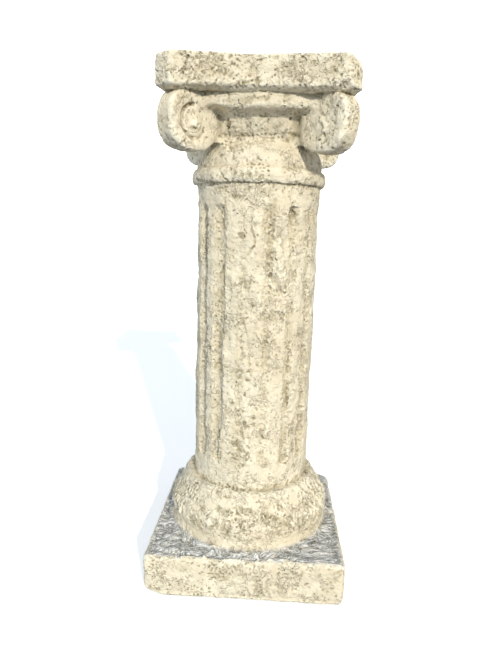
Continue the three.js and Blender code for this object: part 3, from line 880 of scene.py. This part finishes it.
# Colours as they show on a screen: the skin, what clouds it, its grey top and its dirt, then painted shade in
# its hollows, creases, pits, dips, flake edges and folds, and a painted highlight on its raised places
PALE_SKIN, WARM_SKIN, CLOUDED, TOP_GREY = (229, 219, 194), (219, 207, 180), (202, 187, 158), (234, 234, 230)
FLUTE_DIRT, UNDERCUT_SHADE, CREASE_SHADE, STAINED = (200, 186, 151), (180, 167, 133), (156, 146, 120), (182, 167, 132)
BLOTCHED, CRACKED, PIT_DIRT_AND_SHADE, DIP_SHADE = (150, 138, 107), (118, 107, 82), (150, 139, 108), (146, 135, 104)
FLAKE_EDGE_SHADE, NICKED, FOLD_SHADE, RAISED_HIGHLIGHT = (146, 133, 101), (140, 127, 96), (96, 97, 97), (250, 244, 224)

# The levels in metres between which the stone turns rougher, towards the slab and towards the base
SLAB_ROUGHER, BASE_ROUGHER = (0.705, 0.724), (0.150, 0.115)


def cast_stone():
    material = bpy.data.materials.new("cast_stone")
    n = Nodes(material)
    place = n.add("ShaderNodeTexCoord").outputs["Object"]
    dirt, flute, ledge = n.attribute("dirt"), n.attribute("flute"), n.attribute("ledge")
    hollow, crease, sunk = n.attribute("hollow"), n.attribute("crease"), n.attribute("sunk")

    # Where the skin is cloudy, and where it is rough
    off_ledge = n.maths("SUBTRACT", 1.0, ledge)
    broad = n.ramp(n.noise(place, 9, 4), 0.35, 0.65)
    cloudy = n.ramp(n.noise(place, 34, 5, 0.6), 0.38, 0.66)
    crowd = n.ramp(n.noise(place, 26, 4, 0.6), 0.44, 0.58, 0.06, 1.0)
    rough = n.maths("MAXIMUM", n.maths("MAXIMUM", crowd, dirt), n.times(flute, 0.8))
    split = n.add("ShaderNodeSeparateXYZ")
    n.join(place, split.inputs[0])
    level = split.outputs["Z"]
    slab, base = n.ramp(level, *SLAB_ROUGHER, 0.72, 0.82), n.ramp(level, *BASE_ROUGHER, 0.72, 0.85)
    busy = n.maths("MAXIMUM", slab, base)
    rough = n.times(rough, busy)

    # Flakes of skin with crooked edges, nicks, and small pits. The flakes' edges get a line of painted shade,
    # and the pits are darkened partly by dirt and partly by painted shade
    flakes = n.noise(place, 95, 2.5, 0.55, 0.7)
    skin = n.ramp(flakes, 0.455, 0.525)
    broken = n.ramp(n.noise(place, 170, 2), 0.42, 0.52)
    flake_shade = n.times(n.times(n.near(flakes, 0.462, 0.034), broken), rough)
    chips = n.noise(place, 185, 2, 0.5, 0.6)
    chipped = n.times(rough, n.ramp(n.noise(place, 52, 2), 0.45, 0.55))
    nicks = n.times(n.near(chips, 0.44, 0.045), chipped)
    pits = n.times(n.ramp(n.noise(place, 210, 2, 0.6), 0.63, 0.67), rough)

    # The wrinkled top of the plinth, with painted shade along the valleys of its folds
    drawn = n.add("ShaderNodeVectorMath", operation="MULTIPLY")
    n.join(place, drawn.inputs[0])
    drawn.inputs[1].default_value = (0.5, 1.0, 1.0)
    folds = n.maths("SUBTRACT", n.noise(drawn.outputs["Vector"], 62, 4, 0.6, 0.9), 0.5)
    folds = n.maths("ABSOLUTE", folds, 0.0)
    fold_shade = n.times(n.ramp(folds, 0.026, 0.002), ledge)

    # Dirt in the flutes and in stained places; painted shade under overhangs and wherever the surface dips,
    # and a painted highlight where it stands proud
    floor_dirt = n.times(flute, n.ramp(n.noise(place, 60, 5, 0.65), 0.40, 0.58))
    # Painted shade under overhangs and in hollows, from how much solid lies near, less in the flutes
    deep = n.times(n.ramp(hollow, 0.12, 0.42), n.maths("SUBTRACT", 1.0, n.times(flute, 0.6)))
    dark = n.times(dirt, n.ramp(n.noise(place, 120, 4, 0.7), 0.42, 0.54))
    # Painted shade where the surface dips below its neighbours, and a painted highlight where it stands above
    # them
    dip_shade = n.times(n.ramp(sunk, 0.03, 0.20), n.maths("ADD", n.times(off_ledge, 0.30), 0.25))
    raised_highlight = n.times(n.ramp(sunk, -0.03, -0.18), n.times(off_ledge, 0.45))

    # Coats laid over the skin in turn: clouding, the grey top, dirt, stains and cracks as the stone has them,
    # and painted shade under overhangs, in creases, in pits, along flake edges, in the folds and in dips,
    # with a painted highlight on raised places
    coats = (
        (n.times(cloudy, 0.42), CLOUDED),
        # The plinth's top turns a pale neutral grey
        (n.times(ledge, 0.85), TOP_GREY),
        (n.times(floor_dirt, 0.40), FLUTE_DIRT),
        (n.times(deep, 0.45), UNDERCUT_SHADE),
        # Painted shade in wide creases and recesses, from how much solid lies round them
        (n.times(n.ramp(crease, 0.16, 0.50), 0.70), CREASE_SHADE),
        (n.times(dirt, 0.38), STAINED),
        (n.times(dark, 0.50), BLOTCHED),
        (n.ramp(dirt, 0.72, 1.0, 0.0, 0.5), CRACKED),
        (n.times(pits, 0.35), PIT_DIRT_AND_SHADE),
        (n.times(flake_shade, 0.55), FLAKE_EDGE_SHADE),
        (n.times(nicks, 0.65), NICKED),
        (n.times(fold_shade, 0.8), FOLD_SHADE),
        (dip_shade, DIP_SHADE),
        (raised_highlight, RAISED_HIGHLIGHT),
    )
    colour = n.mix(broad, srgb(*PALE_SKIN), srgb(*WARM_SKIN))
    for share, tone in coats:
        colour = n.mix(share, colour, srgb(*tone))

    # Relief too fine for the mesh, in millimetres
    relief = n.times(n.noise(place, 110, 5, 0.65), 4.0)
    relief = n.maths("ADD", relief, n.times(skin, n.maths("ADD", n.times(rough, 1.2), 0.3)))
    relief = n.maths("SUBTRACT", relief, n.maths("ADD", pits, n.times(nicks, 0.8)))
    relief = n.maths("ADD", relief, n.times(n.maths("MINIMUM", folds, 0.14), n.times(ledge, 40.0)))
    bump = n.add("ShaderNodeBump")
    bump.inputs["Strength"].default_value = 1.0
    bump.inputs["Distance"].default_value = MM
    n.join(relief, bump.inputs["Height"])

    shader = n.add("ShaderNodeBsdfPrincipled")
    n.join(colour, shader.inputs["Base Color"])
    n.join(n.ramp(n.noise(place, 700, 2, 0.6), 0.3, 0.7, 0.84, 0.97), shader.inputs["Roughness"])
    shader.inputs["Specular IOR Level"].default_value = 0.25
    n.join(bump.outputs["Normal"], shader.inputs["Normal"])
    n.join(shader.outputs["BSDF"], n.add("ShaderNodeOutputMaterial").inputs["Surface"])
    return material


FLOOR_TONES, FLOOR_GLOW, GLOW = ((244, 244, 243), (250, 250, 249)), (250, 250, 248), 0.34


def pale_floor():
    material = bpy.data.materials.new("pale_floor")
    n = Nodes(material)
    place = n.add("ShaderNodeTexCoord").outputs["Object"]
    shader = n.add("ShaderNodeBsdfPrincipled")
    tones = [srgb(*tone) for tone in FLOOR_TONES]
    n.join(n.mix(n.noise(place, 3, 2), *tones), shader.inputs["Base Color"])
    shader.inputs["Roughness"].default_value = 0.9
    shader.inputs["Specular IOR Level"].default_value = 0.1
    shader.inputs["Emission Color"].default_value = srgb(*FLOOR_GLOW)
    shader.inputs["Emission Strength"].default_value = GLOW
    n.join(shader.outputs["BSDF"], n.add("ShaderNodeOutputMaterial").inputs["Surface"])
    return material


mesh.materials.clear()
mesh.materials.append(cast_stone())
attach(column, "root")
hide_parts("column")

# The floor and backdrop in metres: half its width, where it starts, where and how it turns up, and its top
HALF_WIDTH, NEAR_END, TURN_START, TURN_RADIUS, WALL_TOP = 30.0, -30.0, 3.0, 1.5, 12.0
TURN_STEPS, FLOOR_GAP = 12, 0.0002


def floor_outline():
    """How far back and how high the floor and backdrop run, in order."""
    outline = [(NEAR_END, 0.0)]
    for step in range(TURN_STEPS + 1):
        bend = math.radians(90 * step / TURN_STEPS)
        outline.append((TURN_START + TURN_RADIUS * math.sin(bend), TURN_RADIUS * (1 - math.cos(bend))))
    outline.append((TURN_START + TURN_RADIUS, WALL_TOP))
    return outline


def pale_backdrop():
    """A pale floor that turns up into a backdrop. The light that it throws up is left off the column."""
    outline = floor_outline()
    mesh = bpy.data.meshes.new("floor")
    corners = [(side * HALF_WIDTH, y, z) for y, z in outline for side in (-1, 1)]
    faces = [(2 * i, 2 * i + 1, 2 * i + 3, 2 * i + 2) for i in range(len(outline) - 1)]
    mesh.from_pydata(corners, [], faces)
    mesh.polygons.foreach_set("use_smooth", np.ones(len(faces), bool))
    mesh.materials.append(pale_floor())
    floor = bpy.data.objects.new("floor", mesh)
    bpy.context.scene.collection.objects.link(floor)
    floor.location.z = cad_low[2] - FLOOR_GAP
    floor.visible_diffuse = False
    return floor


pale_backdrop()


def sun(name, azimuth, elevation, strength, spread, colour):
    """A light from far off, its azimuth counted from the front towards the right."""
    light = bpy.data.lights.new(name, "SUN")
    light.energy, light.angle, light.color = strength, math.radians(spread), colour
    lamp = bpy.data.objects.new(name, light)
    a, e = math.radians(azimuth), math.radians(elevation)
    towards = Vector((math.sin(a) * math.cos(e), -math.cos(a) * math.cos(e), math.sin(e)))
    lamp.rotation_mode = "QUATERNION"
    lamp.rotation_quaternion = towards.to_track_quat("Z", "Y")
    bpy.context.scene.collection.objects.link(lamp)


sun("key", 19, 23, 2.95, 1.0, (1.0, 0.955, 0.855))
sun("side", 80, 14, 0.55, 30, (1.0, 0.97, 0.93))

# The fill is strongest from the upper left of the front
FILL_FROM, FILL_BEHIND, FILL_AHEAD, FILL_FALL = (-0.55, -0.64, 0.53), 0.14, 1.16, 1.4
FILL_COLOUR = (0.80, 0.89, 1.0, 1.0)


def studio():
    world = bpy.data.worlds.new("studio")
    n = Nodes(world)
    towards_fill = n.add("ShaderNodeVectorMath", operation="DOT_PRODUCT")
    n.join(n.add("ShaderNodeTexCoord").outputs["Generated"], towards_fill.inputs[0])
    towards_fill.inputs[1].default_value = FILL_FROM
    halved = n.maths("ADD", n.times(towards_fill.outputs["Value"], 0.5), 0.5)
    fade = n.add("ShaderNodeMapRange")
    n.join(n.maths("POWER", halved, FILL_FALL), fade.inputs["Value"])
    fade.inputs["To Min"].default_value, fade.inputs["To Max"].default_value = FILL_BEHIND, FILL_AHEAD
    background = n.add("ShaderNodeBackground")
    background.inputs["Color"].default_value = FILL_COLOUR
    n.join(fade.outputs["Result"], background.inputs["Strength"])
    n.join(background.outputs["Background"], n.add("ShaderNodeOutputWorld").inputs["Surface"])
    return world


bpy.context.scene.world = studio()

# The camera's place, how it is turned, and its lens for the picture's long side
EYE_POINT = Vector((0.0270, -0.8453, 0.5513))
YAW, PITCH, ROLL = 0.03981, 0.20423, 0.02976
LENS, SENSOR = 28.80, 36.0


def camera_pose():
    """The camera's axes, turned in place and rolled, and its place."""
    turn = Matrix.Rotation(YAW, 3, "Z")
    ahead = Vector((0, math.cos(PITCH), -math.sin(PITCH)))
    side = Vector((1, 0, 0))
    above = side.cross(ahead)
    ahead, side, above = turn @ ahead, turn @ side, turn @ above
    rolled_side = math.cos(ROLL) * side + math.sin(ROLL) * above
    rolled_above = math.cos(ROLL) * above - math.sin(ROLL) * side
    pose = Matrix((rolled_side, rolled_above, -ahead)).transposed().to_4x4()
    pose.translation = EYE_POINT
    return pose


camera_data = bpy.data.cameras.new("camera")
camera_data.lens, camera_data.sensor_width = LENS, SENSOR
camera_data.clip_start, camera_data.clip_end = 0.01, 100.0
camera = bpy.data.objects.new("camera", camera_data)
bpy.context.scene.collection.objects.link(camera)
camera.matrix_world = camera_pose()
bpy.context.scene.camera = camera

bpy.context.scene.view_settings.view_transform = "Standard"
